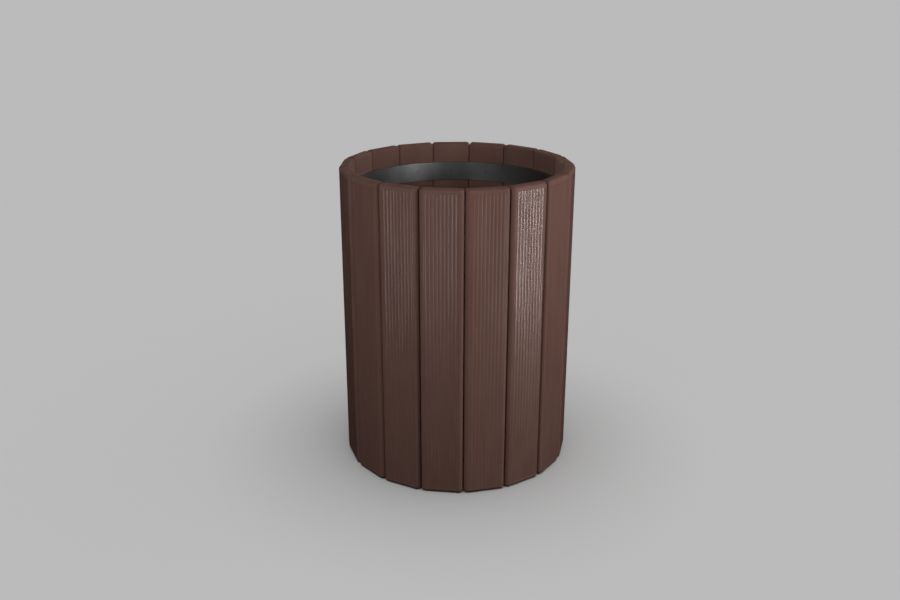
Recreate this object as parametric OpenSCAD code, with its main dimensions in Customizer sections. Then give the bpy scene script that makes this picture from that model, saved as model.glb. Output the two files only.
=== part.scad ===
// Round litter bin for a park or street: a ring of mitred recycled-plastic staves on two
// steel hoops, a steel base plate for ground anchors, and a galvanised liner that lifts out.
// Millimetres. The origin is on the ground at the bin's axis, +Z is up and -Y is the front.

/* [Body] */
// Height of the stave ring, from the ground to the rim
bin_h = 780; // [700:10:900]
// Distance across the ring, from the axis to a stave's outer face
ring_apothem = 295.5; // [290:0.5:305]
// Thickness of a stave
stave_t = 28; // [24:1:30]
// Open joint between two staves
stave_gap = 2; // [0.8:0.1:3]
// Rounding of a stave's two long outer edges
outer_edge_r = 11; // [6:0.5:11]
// Rounding of a stave's two long inner edges
inner_edge_r = 3; // [2:0.5:5]
// Rounding of a stave's ends
end_edge_r = 8.5; // [4:0.5:9]

/* [Hoops] */
// Height of each flat-bar hoop
hoop_h = 50; // [40:1:60]
// Thickness of each flat-bar hoop
hoop_t = 4.5; // [4:0.5:5]
// Distance from the rim down to the upper hoop's top edge
hoop_drop = 52; // [40:1:70]

/* [Screws] */
// Shank radius of a countersunk screw
screw_r = 2.5; // [2:0.1:3]
// Head radius of a countersunk screw
screw_head_r = 5; // [4.5:0.1:5.5]
// Length of a screw, from the head's face to the tip
screw_len = 25; // [20:1:25]

/* [Base plate] */
// Thickness of the base plate
plate_t = 4; // [4:0.5:6]
// Pitch circle diameter of the ground anchor holes
anchor_pcd = 380; // [300:5:400]
// Radius of each ground anchor hole
anchor_hole_r = 7; // [5:0.5:8]
// Radius of the drain hole in the middle of the plate
drain_r = 30; // [20:1:50]

/* [Liner] */
// Outer radius of the liner's wall
liner_r = 236; // [225:1:240]
// Wall thickness of the liner
liner_t = 1.5; // [1:0.1:2]
// Height of the liner's rim above the ground
liner_top = 625; // [520:5:635]
// Height of the liner's floor above the base plate
floor_lift = 16; // [14:1:40]

/* [Handle] */
// Radius of the bail's round rod
bail_r = 4; // [3:0.5:5]
// Width of each ear
ear_w = 40; // [36:1:50]
// Thickness of each ear
ear_t = 3; // [2.5:0.5:4]

/* [Hidden] */
$fn = 96;
small_fn = 32;                   // for the screws and their holes
stave_count = 17;
step_a = 360 / stave_count;
mitre = step_a / 2;
ring_inner = ring_apothem - stave_t;

near = 0.1;                      // clearance between pieces that touch on the real bin
seat_gap = 0.3;                  // clearance under the liner, which stands loose
far = 1000;                      // longer than the whole bin, for cutting bodies

hoop_r_out = ring_inner - near;
hoop_r_in = hoop_r_out - hoop_t;
upper_hoop_z = bin_h - hoop_drop - hoop_h;
lower_hoop_z = plate_t;

head_h = screw_head_r - screw_r; // a 90 degree countersink
head_sink = 0.25;                // the head's face lies this far below the hoop's face
screw_r_in = hoop_r_in + head_sink;
socket_r = 1.7;
socket_depth = 1.6;

weld_count = 8;
weld_leg = 5;
weld_a = 10;

liner_r_in = liner_r - liner_t;
liner_z = plate_t + seat_gap;
bead_r = 4;
bead_wall_r = liner_r_in + bead_r;
floor_z = plate_t + floor_lift;
floor_t = 1.5;
floor_r = liner_r_in - near;
liner_drain_r = 5;
liner_drain_pcd = 300;
liner_drain_count = 5;

bail_gap = 1;                    // between the resting bail and the rim
hinge_z = liner_top + bail_r + bail_gap;
bail_bend_r = 8;
bail_tip_in = 8;                 // length of a bail's tip inside the ear
bail_head_r = 6;
bail_head_t = 3;
ear_r_out = liner_r_in - near;
ear_r_in = ear_r_out - ear_t;
bail_straight_x = ear_r_out + 1; // the bail's straight tip ends just outside the ear
bail_arc_r = bail_straight_x + bail_bend_r;
eye_r = bail_r + near;
eye_edge = 8;                    // metal left around the eye
rivet_drop = [30, 52];           // depth of the two rivets below the hinge
rivet_r = 3;
rivet_head_r = 6;
rivet_head_t = 2.2;

// Turn a piece drawn at the front to the place of stave k, counted from 0 at the front.
module at_stave(k) {
    rotate([0, 0, k * step_a]) children();
}

// Lay a piece that is drawn along +Z along the outward radius at the front, at height z.
module radial(z) {
    translate([0, 0, z]) rotate([90, 0, 0]) children();
}

// Half the width of a stave at distance y from the axis.
function stave_half_w(y) = y * tan(mitre) - stave_gap / 2 / cos(mitre);

// Centre of a rounded corner of radius r on the circle of height y.
function corner_x(y, r) = stave_half_w(y) - r / cos(mitre);

// Plan of a stave with its outer face towards +Y: a mitred board with round corners.
module stave_plan() {
    outer_y = ring_apothem - outer_edge_r;
    outer_x = corner_x(outer_y, outer_edge_r);
    inner_y = ring_inner + inner_edge_r;
    inner_x = corner_x(inner_y, inner_edge_r);
    right = [
        [inner_x, ring_inner],
        [inner_x + inner_edge_r * cos(mitre), inner_y - inner_edge_r * sin(mitre)],
        [outer_x + outer_edge_r * cos(mitre), outer_y - outer_edge_r * sin(mitre)],
        [outer_x, ring_apothem]
    ];
    left = [for (i = [3:-1:0]) [-right[i][0], right[i][1]]];
    union() {
        polygon(concat(right, left));
        for (side = [-1, 1]) {
            translate([side * outer_x, outer_y]) circle(outer_edge_r);
            translate([side * inner_x, inner_y]) circle(inner_edge_r);
        }
    }
}

// Upright section of a stave: x is the distance from the axis and y is the height.
module stave_section() {
    r = end_edge_r;
    union() {
        translate([ring_inner, r]) square([stave_t, bin_h - 2 * r]);
        translate([ring_inner + r, 0]) square([stave_t - 2 * r, bin_h]);
        for (x = [ring_inner + r, ring_apothem - r], y = [r, bin_h - r])
            translate([x, y]) circle(r);
    }
}

// One stave at the front, with a blind pilot bore for each hoop's screw.
module stave() {
    pilot_len = screw_r_in + screw_len + 1;
    color("#5b4038") difference() {
        intersection() {
            rotate([0, 0, 180]) linear_extrude(bin_h) stave_plan();
            rotate([90, 0, -90]) translate([0, 0, -far / 2]) linear_extrude(far) stave_section();
        }
        for (z = [upper_hoop_z, lower_hoop_z])
            radial(z + hoop_h / 2) cylinder(r = screw_r + near, h = pilot_len, $fn = small_fn);
    }
}

// A countersunk hole along +Z through a hoop whose axis crosses the origin. The cone starts
// clear of the hoop's inner face and ends where the hole is as wide as the screw's shank.
module screw_hole() {
    $fn = small_fn;
    translate([0, 0, hoop_r_in - 1]) cylinder(r = screw_r + near, h = hoop_t + 2);
    translate([0, 0, screw_r_in - 1])
        cylinder(r1 = screw_head_r + near + 1, r2 = screw_r + near, h = head_h + 1);
}

// A flat-bar hoop with one countersunk hole for each stave, its lower edge at height z.
module hoop(z) {
    color("#3a3a3b") difference() {
        rotate_extrude() translate([hoop_r_in, z]) square([hoop_t, hoop_h]);
        for (k = [0:stave_count - 1])
            at_stave(k) radial(z + hoop_h / 2) screw_hole();
    }
}

// A countersunk screw with a socket head, its head's face at the origin and its tip along +Z.
module screw() {
    $fn = small_fn;
    difference() {
        union() {
            cylinder(r1 = screw_head_r, r2 = screw_r, h = head_h);
            cylinder(r = screw_r, h = screw_len);
        }
        translate([0, 0, -1]) cylinder(r = socket_r, h = socket_depth + 1, $fn = 6);
    }
}

// The screws of one hoop, whose lower edge is at height z.
module hoop_screws(z) {
    color("#2b2b2c") for (k = [0:stave_count - 1])
        at_stave(k) radial(z + hoop_h / 2) translate([0, 0, screw_r_in]) screw();
}

// The round plate on the ground, with its anchor holes and its drain.
module base_plate() {
    color("#3a3a3b") difference() {
        cylinder(r = hoop_r_out, h = plate_t);
        translate([0, 0, -1]) cylinder(r = drain_r, h = plate_t + 2);
        for (a = [45:90:315]) rotate([0, 0, a])
            translate([anchor_pcd / 2, 0, -1]) cylinder(r = anchor_hole_r, h = plate_t + 2);
    }
}

// Short fillet welds between the base plate and the lower hoop.
module base_plate_welds() {
    corner = [hoop_r_in, plate_t];
    color("#2f2f30") for (k = [0:weld_count - 1])
        rotate([0, 0, k * 360 / weld_count - weld_a / 2])
            rotate_extrude(angle = weld_a)
                polygon([corner, corner - [weld_leg, 0], corner + [0, weld_leg]]);
}

// The rivet holes of both ears, through everything between the axis and the liner's outside.
module rivet_holes() {
    for (side = [0, 180], drop = rivet_drop) rotate([0, 0, side])
        translate([0, 0, hinge_z - drop]) rotate([0, 90, 0])
            cylinder(r = rivet_r + near, h = liner_r + 1, $fn = small_fn);
}

// The liner's wall, rolled outwards at its top round a stiffening wire.
module liner_shell() {
    color("#9aa0a3") difference() {
        rotate_extrude() union() {
            translate([liner_r_in, liner_z]) square([liner_t, liner_top - bead_r - liner_z]);
            translate([bead_wall_r, liner_top - bead_r]) circle(bead_r);
        }
        rivet_holes();
    }
}

// The liner's floor: a pressed disc with a flange down to the base plate and drain holes.
module liner_floor() {
    color("#8f9598") difference() {
        translate([0, 0, liner_z]) cylinder(r = floor_r, h = floor_z - liner_z);
        translate([0, 0, liner_z - 1])
            cylinder(r = floor_r - floor_t, h = floor_z - floor_t - liner_z + 1);
        for (k = [0:liner_drain_count - 1]) rotate([0, 0, k * 360 / liner_drain_count])
            translate([liner_drain_pcd / 2, 0, 0]) cylinder(r = liner_drain_r, h = floor_z + 1);
    }
}

// An ear on the +X side: a curved tongue against the liner's wall, with the bail's eye.
module handle_ear() {
    foot_z = hinge_z - rivet_drop[1] - 14;
    eye_out_r = eye_r + eye_edge;
    color("#b0b5b8") difference() {
        intersection() {
            difference() {
                cylinder(r = ear_r_out, h = far);
                translate([0, 0, -1]) cylinder(r = ear_r_in, h = far + 2);
            }
            rotate([90, 0, 90]) linear_extrude(far) union() {
                translate([-ear_w / 2, foot_z]) square([ear_w, hinge_z - 18 - foot_z]);
                translate([-eye_out_r, foot_z]) square([2 * eye_out_r, hinge_z - foot_z]);
                translate([0, hinge_z]) circle(eye_out_r);
            }
        }
        translate([0, 0, hinge_z]) rotate([0, 90, 0]) cylinder(r = eye_r, h = far);
        rivet_holes();
    }
}

// The rivets of both ears, each with a flat head inside and outside the liner.
module ear_rivets() {
    inner_x = ear_r_in - near - rivet_head_t;
    grip_len = liner_r + rivet_head_t - inner_x;
    color("#c2c6c8") for (side = [0, 180], drop = rivet_drop)
        rotate([0, 0, side]) translate([inner_x, 0, hinge_z - drop]) rotate([0, 90, 0]) {
            cylinder(r = rivet_r, h = grip_len);
            cylinder(r = rivet_head_r, h = rivet_head_t);
            translate([0, 0, grip_len - rivet_head_t])
                cylinder(r = rivet_head_r, h = rivet_head_t);
        }
}

// The bail: a half ring of round rod, whose two ends turn in through the ears.
module liner_handle() {
    tip_x = ear_r_in - bail_tip_in;
    color("#a7acaf") translate([0, 0, hinge_z]) union() {
        translate([0, bail_bend_r, 0]) rotate_extrude(angle = 180)
            translate([bail_arc_r, 0]) circle(bail_r, $fn = small_fn);
        for (side = [0, 1]) mirror([side, 0, 0]) {
            translate([bail_straight_x, bail_bend_r, 0]) rotate([0, 0, -90])
                rotate_extrude(angle = 90)
                    translate([bail_bend_r, 0]) circle(bail_r, $fn = small_fn);
            translate([tip_x, 0, 0]) rotate([0, 90, 0]) {
                cylinder(r = bail_r, h = bail_straight_x - tip_x, $fn = small_fn);
                cylinder(r = bail_head_r, h = bail_head_t, $fn = small_fn);
            }
        }
    }
}

for (k = [0:stave_count - 1])
    at_stave(k) stave();
hoop(upper_hoop_z);  // upper_hoop
hoop(lower_hoop_z);  // lower_hoop
hoop_screws(upper_hoop_z);  // upper_hoop_screws
hoop_screws(lower_hoop_z);  // lower_hoop_screws
base_plate();
base_plate_welds();
liner_shell();
liner_floor();
rotate([0, 0, 180]) handle_ear();  // left_handle_ear
handle_ear();  // right_handle_ear
ear_rivets();
liner_handle();
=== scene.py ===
"""Looks for the round litter bin: reeded recycled-plastic staves, coated hoops, zinc liner."""

import math

import bpy
from mathutils import Matrix, Vector, noise


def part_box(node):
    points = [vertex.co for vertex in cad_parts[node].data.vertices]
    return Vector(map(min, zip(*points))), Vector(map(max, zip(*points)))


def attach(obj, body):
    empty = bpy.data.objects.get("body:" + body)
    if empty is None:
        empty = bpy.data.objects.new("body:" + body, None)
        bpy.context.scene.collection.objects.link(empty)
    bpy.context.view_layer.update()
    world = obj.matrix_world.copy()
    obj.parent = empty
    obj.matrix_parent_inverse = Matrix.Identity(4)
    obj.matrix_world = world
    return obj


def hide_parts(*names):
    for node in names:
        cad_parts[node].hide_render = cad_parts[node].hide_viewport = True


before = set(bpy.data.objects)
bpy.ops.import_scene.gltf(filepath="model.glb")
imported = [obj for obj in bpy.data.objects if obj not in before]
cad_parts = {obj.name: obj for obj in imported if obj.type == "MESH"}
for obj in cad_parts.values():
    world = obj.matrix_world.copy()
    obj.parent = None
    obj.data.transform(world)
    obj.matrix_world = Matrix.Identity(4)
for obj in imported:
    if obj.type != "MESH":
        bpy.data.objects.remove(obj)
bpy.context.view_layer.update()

MM = 0.001
STAVE_COUNT = 17
STEP = 2 * math.pi / STAVE_COUNT
MITRE = STEP / 2
HOOP_NODES = ("upper_hoop", "lower_hoop")
SCREW_NODES = ("upper_hoop_screws", "lower_hoop_screws")
PLATE_NODES = ("base_plate", "base_plate_welds")
SHEET_NODES = ("liner_shell", "liner_floor")
ROD_NODES = ("left_handle_ear", "right_handle_ear", "liner_handle")
LINER_NODES = SHEET_NODES + ROD_NODES + ("ear_rivets",)


# ---------------------------------------------------------------- sizes, read from the frame

def stave_sizes():
    """The front stave's box: its outer face, inner face and height, in metres."""
    low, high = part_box("stave_01")
    return -low.y, -high.y, high.z


RING_OUT, RING_IN, BIN_H = stave_sizes()
STAVE_GAP = 1.0 * MM          # narrower than the CAD's joint, so that no daylight shows through it
OUTER_EDGE_R = 11.0 * MM
INNER_EDGE_R = 3.0 * MM
END_R = 8.5 * MM
REED_PITCH = 9.15 * MM
REED_COUNT = 10
REED_DEPTH = 0.44 * MM
FIELD_START = 11.0 * MM       # from a stave's end to its reeded field
FIELD_EDGE = 1.5 * MM         # over which the reeds rise from the plain frame
REED_WANDER = 0.5 * MM        # slow sideways drift of the reeds along the board
REED_WAVER = 0.25 * MM        # faster drift of each reed on its own
LEAST_R = 0.3 * MM            # smallest rounding that an inset corner is left with
INNER_INSET = 0.7             # how much the inner face draws in at the ends, against the outer

POINTS_PER_REED = 5
OUTER_STEPS = 10              # of an outer edge's rounding
REEDED_STEPS = 4              # of those, how many the reeds may cut
INNER_STEPS = 4               # of an inner edge's rounding, and across half the inner face
END_STEPS = 6                 # of the rounding at a stave's ends
BODY_STEPS = 80               # along the rest of a stave
UV_STEP = 0.37                # shift in U from one stave to the next, so that no two match


# ---------------------------------------------------------------- camera, floor and lights

AIM_HEIGHT = 0.45             # where the softboxes point, on the bin's axis
KEY_DISTANCE = 1.5            # of the lamps on the key side, from the bin's axis
FILL_DISTANCE = 1.7
TENT_DISTANCE = 1.9
STRIP_DISTANCE = 1.25
STRIP_FOOT = 0.06             # height of a sheen strip's lower end
FLOOR_HALF = 60.0
FLOOR_GREY = (0.60, 0.60, 0.60, 1)
SURROUND_STRENGTH = 0.4965


def make_camera():
    """The camera, at the angle of the reference view. Angles are in radians."""
    azimuth = math.radians(6.93)
    distance, height = 2.4507, 1.2926
    off_axis = 0.0072
    heading = azimuth + off_axis
    pitch, roll = 0.3454, 0.0017
    data = bpy.data.cameras.new("camera")
    data.lens = 39.129
    data.clip_end = 200
    camera = bpy.data.objects.new("camera", data)
    bpy.context.scene.collection.objects.link(camera)
    place = Matrix.Translation((distance * math.sin(azimuth), -distance * math.cos(azimuth), height))
    turn = Matrix.Rotation(heading, 4, "Z") @ Matrix.Rotation(math.pi / 2 - pitch, 4, "X")
    camera.matrix_world = place @ turn @ Matrix.Rotation(roll, 4, "Z")
    bpy.context.scene.camera = camera


def make_floor():
    """One wide pale floor. It neither lights nor shades the bin and isn't mirrored in it."""
    mesh = bpy.data.meshes.new("floor")
    corners = [(x * FLOOR_HALF, y * FLOOR_HALF, 0) for x, y in ((-1, -1), (1, -1), (1, 1), (-1, 1))]
    mesh.from_pydata(corners, [], [(0, 1, 2, 3)])
    floor = bpy.data.objects.new("floor", mesh)
    bpy.context.scene.collection.objects.link(floor)
    material = bpy.data.materials.new("floor")
    material.use_nodes = True
    shader = material.node_tree.nodes["Principled BSDF"]
    shader.inputs["Base Color"].default_value = FLOOR_GREY
    shader.inputs["Roughness"].default_value = 0.9
    shader.inputs["Specular IOR Level"].default_value = 0.0
    floor.data.materials.append(material)
    floor.visible_diffuse = False
    floor.visible_glossy = False
    floor.visible_shadow = False
    return floor


def direction(azimuth, elevation):
    """The way towards a lamp. Azimuth 0 is the front (-Y) and 90 is +X, in degrees."""
    a, e = math.radians(azimuth), math.radians(elevation)
    return Vector((math.sin(a) * math.cos(e), -math.cos(a) * math.cos(e), math.sin(e)))


def link_lamp(name, data, receivers):
    """Put a lamp in the scene, out of sight and lighting only what its receiver group says."""
    lamp = bpy.data.objects.new(name, data)
    bpy.context.scene.collection.objects.link(lamp)
    lamp.light_linking.receiver_collection = receivers
    lamp.visible_camera = False
    return lamp


def make_sun(name, azimuth, elevation, strength, width, receivers):
    """A distant soft lamp."""
    data = bpy.data.lights.new(name, "SUN")
    data.energy = strength
    data.angle = math.radians(width)
    sun = link_lamp(name, data, receivers)
    sun.rotation_euler = direction(azimuth, elevation).to_track_quat("Z", "Y").to_euler()


def make_softbox(name, azimuth, distance, height, size, watts, receivers):
    """A softbox of the given width and height, aimed at the middle of the bin."""
    data = bpy.data.lights.new(name, "AREA")
    data.shape = "RECTANGLE"
    data.size, data.size_y = size
    data.energy = watts
    box = link_lamp(name, data, receivers)
    box.location = direction(azimuth, 0) * distance + Vector((0, 0, height))
    aim = box.location - Vector((0, 0, AIM_HEIGHT))
    box.rotation_euler = aim.to_track_quat("Z", "Y").to_euler()
    return box


def make_soft_light(name, azimuth, distance, height, side, watts, receivers):
    """A softbox that lights surfaces evenly without showing in their sheen."""
    box = make_softbox(name, azimuth, distance, height, (side, side), watts, receivers)
    box.visible_glossy = False


def make_sheen_strip(name, azimuth, width, height, watts, receivers):
    """An upright strip near the floor, seen only as a sheen on the reeds."""
    strip = make_softbox(name, azimuth, STRIP_DISTANCE, height / 2 + STRIP_FOOT,
                         (width, height), watts, receivers)
    strip.rotation_euler = direction(azimuth, 0).to_track_quat("Z", "Y").to_euler()
    strip.visible_diffuse = False


def receiver_group(name, members, state):
    """A collection that tells a lamp to light only its members, or everything but them."""
    group = bpy.data.collections.new(name)
    for member in members:
        group.objects.link(member)
    for entry in group.collection_objects:
        entry.light_linking.link_state = state
    return group


def make_surround():
    """The pale room seen past the floor's edge. It lights nothing: the lamps do that."""
    world = bpy.data.worlds.new("studio")
    bpy.context.scene.world = world
    world.use_nodes = True
    background = world.node_tree.nodes["Background"]
    background.inputs["Color"].default_value = (1, 1, 1, 1)
    background.inputs["Strength"].default_value = SURROUND_STRENGTH
    world.cycles_visibility.diffuse = False
    world.cycles_visibility.glossy = False


def make_tent():
    """A ring of tall softboxes and one overhead, for the liner and the base plate to mirror."""
    metal = [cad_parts[node] for node in LINER_NODES + PLATE_NODES]
    on_metal = receiver_group("lit_metal", metal, "INCLUDE")
    for azimuth, watts in ((30, 9), (90, 6), (150, 4), (210, 6), (270, 3), (330, 8)):
        make_softbox(f"tent_{azimuth}", azimuth, TENT_DISTANCE, 0.6, (1.2, 3.0), watts, on_metal)
    make_softbox("tent_top", 0, 0.01, 2.6, (1.8, 1.8), 9, on_metal)


def light_floor(floor):
    """Soft overhead light for the floor, which the bin shades."""
    on_floor = receiver_group("lit_floor", [floor], "INCLUDE")
    make_sun("floor_overhead", 0, 90, 1.95, 60, on_floor)
    make_sun("floor_right", 75, 45, 0.46, 90, on_floor)
    make_sun("floor_front", -10, 50, 0.32, 90, on_floor)
    make_sun("floor_back", 180, 50, 0.10, 90, on_floor)


def light_bin(floor, steel):
    """Even light for everything but the floor and the hoops."""
    on_bin = receiver_group("lit_bin", [floor] + steel, "EXCLUDE")
    make_soft_light("key", 67.5, KEY_DISTANCE, 1.02, 0.50, 14.5, on_bin)
    make_soft_light("key_low", 78, KEY_DISTANCE, 0.35, 0.50, 3.2, on_bin)
    make_soft_light("fill", -21, FILL_DISTANCE, 1.35, 0.55, 10.3, on_bin)
    make_soft_light("fill_low", -20, FILL_DISTANCE, 0.60, 0.50, 2.5, on_bin)
    make_soft_light("fill_left", -55, FILL_DISTANCE, 0.90, 0.60, 2.9, on_bin)
    make_soft_light("fill_right", 25, FILL_DISTANCE, 1.40, 0.50, 3.6, on_bin)
    make_soft_light("side", -110, FILL_DISTANCE, 1.50, 0.90, 2.4, on_bin)
    make_soft_light("back_left", 205, FILL_DISTANCE, 1.50, 0.90, 20.0, on_bin)
    make_soft_light("back_right", 145, FILL_DISTANCE, 1.50, 0.90, 17.0, on_bin)


def light_reeds(staves):
    """Upright strips that show as a sheen on the reeds, at the front and round the back."""
    on_front = receiver_group("lit_front_staves", staves[-1:] + staves[:3], "INCLUDE")
    make_sheen_strip("sheen_key", 73.5, 0.05, 0.80, 2.5, on_front)
    make_sheen_strip("sheen_left", -42, 0.06, 0.80, 0.50, on_front)
    make_sheen_strip("sheen_front", -9, 0.06, 0.80, 0.55, on_front)
    make_sheen_strip("sheen_right", 42, 0.06, 0.80, 0.28, on_front)
    on_rest = receiver_group("lit_other_staves", staves[5:14], "INCLUDE")
    for azimuth in (95, 130, 165, 200, 235, 265):
        make_sheen_strip(f"sheen_{azimuth}", azimuth, 0.10, 0.72, 0.45, on_rest)


def light_hoops(steel):
    """Softboxes for the hoops and their screws to mirror."""
    on_hoops = receiver_group("lit_hoops", steel, "INCLUDE")
    make_softbox("hoop_key", 65, KEY_DISTANCE, 1.0, (0.4, 0.4), 27, on_hoops)
    size = (0.5, 0.5)
    make_softbox("hoop_fill", -20, FILL_DISTANCE, 1.4, size, 12, on_hoops)
    make_softbox("hoop_left", -42, FILL_DISTANCE, 1.4, size, 2.5, on_hoops)
    make_softbox("hoop_back_left", 215, FILL_DISTANCE, 1.4, size, 12, on_hoops)
    make_softbox("hoop_back_right", 145, FILL_DISTANCE, 1.4, size, 16, on_hoops)
    make_softbox("hoop_right", 25, FILL_DISTANCE, 1.4, size, 2, on_hoops)


def make_lights(floor, staves):
    """All the lamps, each linked to the pieces that it lights."""
    steel = [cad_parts[node] for node in HOOP_NODES + SCREW_NODES]
    make_surround()
    make_tent()
    light_floor(floor)
    light_bin(floor, steel)
    light_reeds(staves)
    light_hoops(steel)


# ---------------------------------------------------------------- materials

def new_material(name):
    """A node material, with its nodes and links."""
    material = bpy.data.materials.new(name)
    material.use_nodes = True
    return material, material.node_tree.nodes, material.node_tree.links


def streak_noise(nodes, links, scale, stretch, detail):
    """Noise drawn out along the stave: UV runs across it in U and up it in V, in metres."""
    uv = nodes.new("ShaderNodeUVMap")
    uv.uv_map = "board"
    place = nodes.new("ShaderNodeMapping")
    place.inputs["Scale"].default_value = (1, stretch, 1)
    links.new(uv.outputs["UV"], place.inputs["Vector"])
    texture = nodes.new("ShaderNodeTexNoise")
    texture.inputs["Scale"].default_value = scale
    texture.inputs["Detail"].default_value = detail
    links.new(place.outputs["Vector"], texture.inputs["Vector"])
    return texture.outputs["Fac"]


def ramp(nodes, links, value, low, high, stops=(0.3, 0.7)):
    """A two-colour ramp over a value."""
    node = nodes.new("ShaderNodeValToRGB")
    node.color_ramp.elements[0].position = stops[0]
    node.color_ramp.elements[0].color = (*low, 1)
    node.color_ramp.elements[1].position = stops[1]
    node.color_ramp.elements[1].color = (*high, 1)
    links.new(value, node.inputs["Fac"])
    return node.outputs["Color"]


def to_range(nodes, links, value, low, high):
    """The middle of a noise's range, spread from low to high."""
    node = nodes.new("ShaderNodeMapRange")
    node.inputs["From Min"].default_value = 0.3
    node.inputs["From Max"].default_value = 0.7
    node.inputs["To Min"].default_value = low
    node.inputs["To Max"].default_value = high
    links.new(value, node.inputs["Value"])
    return node.outputs["Result"]


def blend(nodes, links, share, outside, inside):
    """A value that is outside where share is 0 and inside where it is 1. inside may be a socket."""
    node = nodes.new("ShaderNodeMix")
    node.data_type = "FLOAT"
    links.new(share, node.inputs["Factor"])
    node.inputs["A"].default_value = outside
    if isinstance(inside, float):
        node.inputs["B"].default_value = inside
    else:
        links.new(inside, node.inputs["B"])
    return node.outputs["Result"]


def add_bump(nodes, links, shader, height, strength, distance, before=None):
    """Bump the shader's normal, on top of an earlier bump where there is one."""
    bump = nodes.new("ShaderNodeBump")
    bump.inputs["Strength"].default_value = strength
    bump.inputs["Distance"].default_value = distance
    links.new(height, bump.inputs["Height"])
    if before:
        links.new(before, bump.inputs["Normal"])
    links.new(bump.outputs["Normal"], shader.inputs["Normal"])
    return bump.outputs["Normal"]


def plastic_material():
    """Brown recycled plastic: clouded colour, fine streaks, and a satin sheen on the reeds."""
    material, nodes, links = new_material("stave_plastic")
    shader = nodes["Principled BSDF"]
    clouds = streak_noise(nodes, links, 14, 0.35, 4)
    streaks = streak_noise(nodes, links, 420, 0.03, 3)
    grain = streak_noise(nodes, links, 900, 0.5, 2)
    tone = ramp(nodes, links, clouds, (0.126, 0.067, 0.054), (0.143, 0.078, 0.064))
    fine = ramp(nodes, links, streaks, (0.90, 0.90, 0.90), (1.06, 1.06, 1.06))
    mix = nodes.new("ShaderNodeMix")
    mix.data_type = "RGBA"
    mix.blend_type = "MULTIPLY"
    mix.inputs["Factor"].default_value = 1.0
    links.new(tone, mix.inputs["A"])
    links.new(fine, mix.inputs["B"])
    links.new(mix.outputs["Result"], shader.inputs["Base Color"])
    field = nodes.new("ShaderNodeAttribute")
    field.attribute_name = "reeded"
    reeded = field.outputs["Fac"]
    satin = to_range(nodes, links, grain, 0.18, 0.22)
    links.new(blend(nodes, links, reeded, 0.52, satin), shader.inputs["Roughness"])
    links.new(blend(nodes, links, reeded, 0.25, 0.5), shader.inputs["Specular IOR Level"])
    along = nodes.new("ShaderNodeTangent")
    along.direction_type = "UV_MAP"
    along.uv_map = "board"
    links.new(along.outputs["Tangent"], shader.inputs["Tangent"])
    shader.inputs["Anisotropic"].default_value = 0.85
    shader.inputs["Anisotropic Rotation"].default_value = 0.25
    first = add_bump(nodes, links, shader, streaks, 0.06, 0.0004)
    add_bump(nodes, links, shader, grain, 0.05, 0.0002, before=first)
    return material


def object_noise(nodes, links, scale, detail=3):
    """Noise in the object's own coordinates."""
    place = nodes.new("ShaderNodeTexCoord")
    texture = nodes.new("ShaderNodeTexNoise")
    texture.inputs["Scale"].default_value = scale
    texture.inputs["Detail"].default_value = detail
    links.new(place.outputs["Object"], texture.inputs["Vector"])
    return texture.outputs["Fac"]


def coated_steel(name, low, high, roughness, metallic):
    """Satin dark coating on steel, with a faint orange-peel and soft colour drift."""
    material, nodes, links = new_material(name)
    shader = nodes["Principled BSDF"]
    shader.inputs["Metallic"].default_value = metallic
    drift = object_noise(nodes, links, 9)
    peel = object_noise(nodes, links, 700, 2)
    links.new(ramp(nodes, links, drift, low, high), shader.inputs["Base Color"])
    links.new(to_range(nodes, links, drift, roughness - 0.03, roughness + 0.04), shader.inputs["Roughness"])
    add_bump(nodes, links, shader, peel, 0.12, 0.0002)
    return material


def zinc_material(name, low, high):
    """Galvanised sheet: the crystal spangle of hot-dip zinc."""
    material, nodes, links = new_material(name)
    shader = nodes["Principled BSDF"]
    shader.inputs["Metallic"].default_value = 1.0
    place = nodes.new("ShaderNodeTexCoord")
    spangle = nodes.new("ShaderNodeTexVoronoi")
    spangle.inputs["Scale"].default_value = 90
    links.new(place.outputs["Object"], spangle.inputs["Vector"])
    split = nodes.new("ShaderNodeSeparateColor")
    links.new(spangle.outputs["Color"], split.inputs["Color"])
    links.new(ramp(nodes, links, split.outputs["Red"], low, high, (0.0, 1.0)), shader.inputs["Base Color"])
    links.new(to_range(nodes, links, split.outputs["Green"], 0.38, 0.52), shader.inputs["Roughness"])
    add_bump(nodes, links, shader, object_noise(nodes, links, 300), 0.1, 0.0002)
    return material


# ---------------------------------------------------------------- staves

def half_width(y):
    """Half a stave's width at distance y from the bin's axis."""
    return y * math.tan(MITRE) - STAVE_GAP / 2 / math.cos(MITRE)


def arc(centre, radius, start, end, steps):
    """Points on an arc, angles in radians from +X, both ends included."""
    points = []
    for i in range(steps + 1):
        a = start + (end - start) * i / steps
        points.append((centre[0] + radius * math.cos(a), centre[1] + radius * math.sin(a)))
    return points


def corner(face_y, edge_r, inset, outwards):
    """Centre and radius of a round corner of the stave's plan once it is inset all round."""
    radius = max(edge_r - inset, LEAST_R)
    offset = inset + radius
    y = face_y - outwards * offset
    return (half_width(y) - offset / math.cos(MITRE), y), radius


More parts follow.
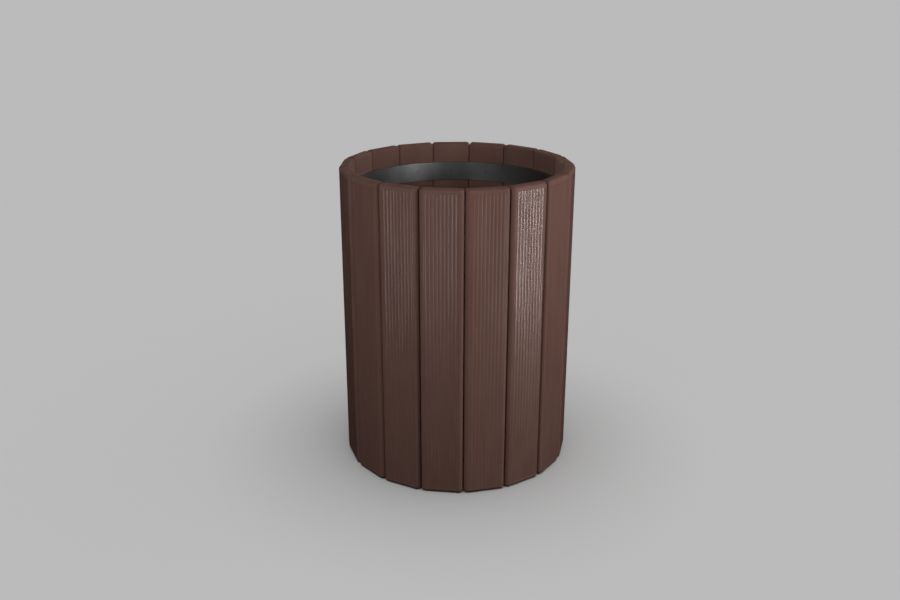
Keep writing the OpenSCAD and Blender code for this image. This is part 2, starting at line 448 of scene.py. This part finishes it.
def stave_outline(inset, inner_inset):
    """Right half of the stave's plan, from the middle of the outer face to that of the inner.

    Each point is (x, y, on_face), where on_face says that reeds may cut it.
    """
    outer, outer_r = corner(RING_OUT, OUTER_EDGE_R, inset, 1)
    inner, inner_r = corner(RING_IN, INNER_EDGE_R, inner_inset, -1)
    points = []
    columns = REED_COUNT * POINTS_PER_REED
    for i in range(columns):
        points.append((outer[0] * i / columns, RING_OUT - inset, True))
    rounding = arc(outer, outer_r, math.pi / 2, -MITRE, OUTER_STEPS)
    points += [(x, y, i < REEDED_STEPS) for i, (x, y) in enumerate(rounding)]
    points += [(x, y, False) for x, y in arc(inner, inner_r, -MITRE, -math.pi / 2, INNER_STEPS)]
    for i in range(1, INNER_STEPS + 1):
        points.append((inner[0] * (1 - i / INNER_STEPS), RING_IN + inner_inset, False))
    return points


def reed_depth(x, z, seed):
    """How far the outer face lies below its crests: convex reeds between narrow grooves."""
    drift = noise.noise(Vector((seed * 7.1, z * 4.0, 0.0))) * REED_WANDER
    drift += noise.noise(Vector((x * 120 + seed * 3.7, z * 9.0, 2.0))) * REED_WAVER
    across = (x + drift) / REED_PITCH
    from_crest = 1 - abs(across - math.floor(across) - 0.5) * 2
    strength = 0.85 + 0.3 * noise.noise(Vector((x * 60, z * 5.0, seed * 1.3)))
    return REED_DEPTH * strength * from_crest ** 2


def fade(distance, over):
    """0 at the start of a stretch and 1 past its end, smoothly."""
    t = min(max(distance / over, 0), 1)
    return t * t * (3 - 2 * t)


def stave_rows():
    """Height and inset of each ring of points, from the ground up."""
    rows = []
    for i in range(END_STEPS + 1):
        a = math.pi / 2 * i / END_STEPS
        rows.append((END_R * (1 - math.cos(a)), END_R * (1 - math.sin(a))))
    rows.append((FIELD_START, 0.0))
    rows.append((FIELD_START + FIELD_EDGE, 0.0))
    ends = len(rows)
    low, high = FIELD_START + FIELD_EDGE, BIN_H - FIELD_START - FIELD_EDGE
    for i in range(1, BODY_STEPS):
        rows.append((low + (high - low) * i / BODY_STEPS, 0.0))
    return rows + [(BIN_H - z, inset) for z, inset in reversed(rows[:ends])]


def field_share(x, z):
    """1 inside the reeded field of a stave's outer face and 0 on the plain frame round it."""
    near_end = min(z, BIN_H - z) - FIELD_START
    near_side = REED_PITCH * REED_COUNT / 2 - abs(x)
    return fade(near_end, FIELD_EDGE) * fade(near_side, FIELD_EDGE)


def stave_ring(z, inset, index):
    """One ring of a stave's points at height z: (x, y, distance round, share of the field)."""
    right = stave_outline(inset, inset * INNER_INSET)
    left = [(-x, y, face) for x, y, face in reversed(right[1:-1])]
    ring = []
    along = 0.0
    before = None
    for x, y, face in right + left:
        share = field_share(x, z) if face else 0.0
        if share:
            y -= reed_depth(x, z, index) * share
        if before:
            along += math.hypot(x - before[0], y - before[1])
        before = (x, y)
        ring.append((x, y, along, share))
    return ring


def skin(rings, count):
    """Faces that join rings of count points each into a closed tube, with a face at each end."""
    faces = []
    for row in range(rings - 1):
        for i in range(count):
            j = (i + 1) % count
            a = row * count
            faces.append((a + j, a + i, a + count + i, a + count + j))
    faces.append(tuple(range(count)))
    faces.append(tuple(reversed([(rings - 1) * count + i for i in range(count)])))
    return faces


def stave_mesh(index):
    """One stave's mesh at its place in the bin, with UVs in metres across and along the board."""
    rows = stave_rows()
    angle = -math.pi / 2 + index * STEP
    out = Vector((math.cos(angle), math.sin(angle), 0))
    side = Vector((-math.sin(angle), math.cos(angle), 0))
    verts, uvs, shares = [], [], []
    for z, inset in rows:
        ring = stave_ring(z, inset, index)
        for x, y, along, share in ring:
            verts.append(out * y + side * x + Vector((0, 0, z)))
            uvs.append((along + index * UV_STEP, z))
            shares.append(share)
    mesh = bpy.data.meshes.new(f"reeded_stave_{index + 1:02d}")
    mesh.from_pydata(verts, [], skin(len(rows), len(ring)))
    field = mesh.attributes.new("reeded", "FLOAT", "POINT")
    field.data.foreach_set("value", shares)
    layer = mesh.uv_layers.new(name="board")
    for loop in mesh.loops:
        layer.data[loop.index].uv = uvs[loop.vertex_index]
    for polygon in mesh.polygons:
        polygon.use_smooth = True
    return mesh


def make_staves(material):
    """The reeded staves, each standing for its CAD node."""
    staves = []
    for index in range(STAVE_COUNT):
        mesh = stave_mesh(index)
        stave = bpy.data.objects.new(mesh.name, mesh)
        bpy.context.scene.collection.objects.link(stave)
        stave.data.materials.append(material)
        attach(stave, "bin")
        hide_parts(f"stave_{index + 1:02d}")
        staves.append(stave)
    return staves


# ---------------------------------------------------------------- dressing the CAD nodes

def dress(node, material):
    """Give a CAD node its material, in every slot that it has."""
    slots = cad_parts[node].data.materials
    if not slots:
        slots.append(material)
    for i in range(len(slots)):
        slots[i] = material


def dress_steel():
    """Dark coated steel for the hoops, their screws and the base plate."""
    coating = coated_steel("hoop_steel", (0.175, 0.175, 0.175), (0.195, 0.195, 0.195), 0.37, 1.0)
    plate = coated_steel("plate_steel", (0.05, 0.05, 0.052), (0.07, 0.07, 0.072), 0.5, 0.3)
    screws = coated_steel("screw_steel", (0.14, 0.14, 0.145), (0.17, 0.17, 0.175), 0.40, 1.0)
    for node in HOOP_NODES:
        dress(node, coating)
    for node in SCREW_NODES:
        dress(node, screws)
    for node in PLATE_NODES:
        dress(node, plate)


def dress_liner():
    """Zinc for the liner, its ears and its bail, and plain rivets."""
    sheet = zinc_material("liner_zinc", (0.36, 0.38, 0.39), (0.52, 0.54, 0.55))
    rod = zinc_material("handle_zinc", (0.42, 0.44, 0.45), (0.50, 0.52, 0.53))
    rivet = zinc_material("rivet_steel", (0.55, 0.56, 0.57), (0.60, 0.61, 0.62))
    for node in SHEET_NODES:
        dress(node, sheet)
    for node in ROD_NODES:
        dress(node, rod)
    dress("ear_rivets", rivet)


make_camera()
bpy.context.scene.view_settings.view_transform = "Standard"
make_lights(make_floor(), make_staves(plastic_material()))
dress_steel()
dress_liner()
